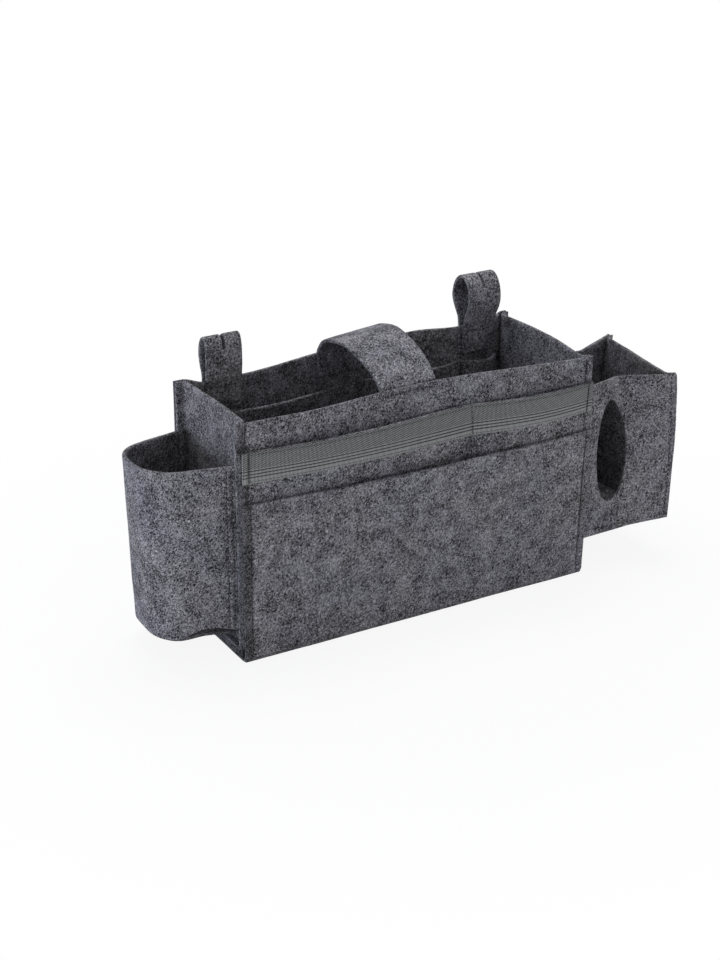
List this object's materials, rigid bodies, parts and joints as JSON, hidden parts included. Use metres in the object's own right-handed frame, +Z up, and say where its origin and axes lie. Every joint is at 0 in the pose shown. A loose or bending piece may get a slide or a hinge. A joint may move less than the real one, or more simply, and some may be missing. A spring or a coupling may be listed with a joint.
{
  "type": "bedside caddy",
  "caption": "Soft felt bedside caddy: an open bin with front pockets, a round bottle pocket at one end, a tissue pocket with an oval hole at the other, a carrying strap and hanging loops.",
  "frame": {"origin": "middle of the bin's flat underside", "axes": "+X along the front towards the tissue pocket, +Y from the front to the back wall with the hanging loops, +Z up"},
  "size_m": [0.501, 0.146, 0.2459],
  "materials": {
    "felt": "matt heathered charcoal felt",
    "webbing": "matt woven band"
  },
  "bodies": {
    "caddy": {"body_wrap": "felt", "front_lower_pocket": "felt", "front_upper_pocket": "felt", "pocket_webbing": "webbing", "side_panel_left": "felt", "side_panel_right": "felt", "back_inner_pocket": "felt", "handle_strap": "felt", "hang_loop_left_inner_tail": "felt", "hang_loop_left_outer_tail": "felt", "hang_loop_right_inner_tail": "felt", "hang_loop_right_outer_tail": "felt", "bottle_pocket_band": "felt", "bottle_pocket_base": "felt", "tissue_pocket_front": "felt", "tissue_pocket_side": "felt", "tissue_pocket_back": "felt", "tissue_pocket_base": "felt"},
    "loop_left": {"hang_loop_left": "felt"},
    "loop_right": {"hang_loop_right": "felt"}
  },
  "joints": [
    {"name": "hang_loop_left_swing", "type": "hinge", "parent": "caddy", "child": "loop_left", "pos_m": [-0.124, 0.05109, 0.2003], "axis": [1, 0, 0], "range_deg": [-90, 90], "stiffness_Nm_per_rad": 0.05},
    {"name": "hang_loop_right_swing", "type": "hinge", "parent": "caddy", "child": "loop_right", "pos_m": [0.128, 0.06029, 0.2039], "axis": [1, 0, 0], "range_deg": [-90, 90], "stiffness_Nm_per_rad": 0.05}
  ]
}
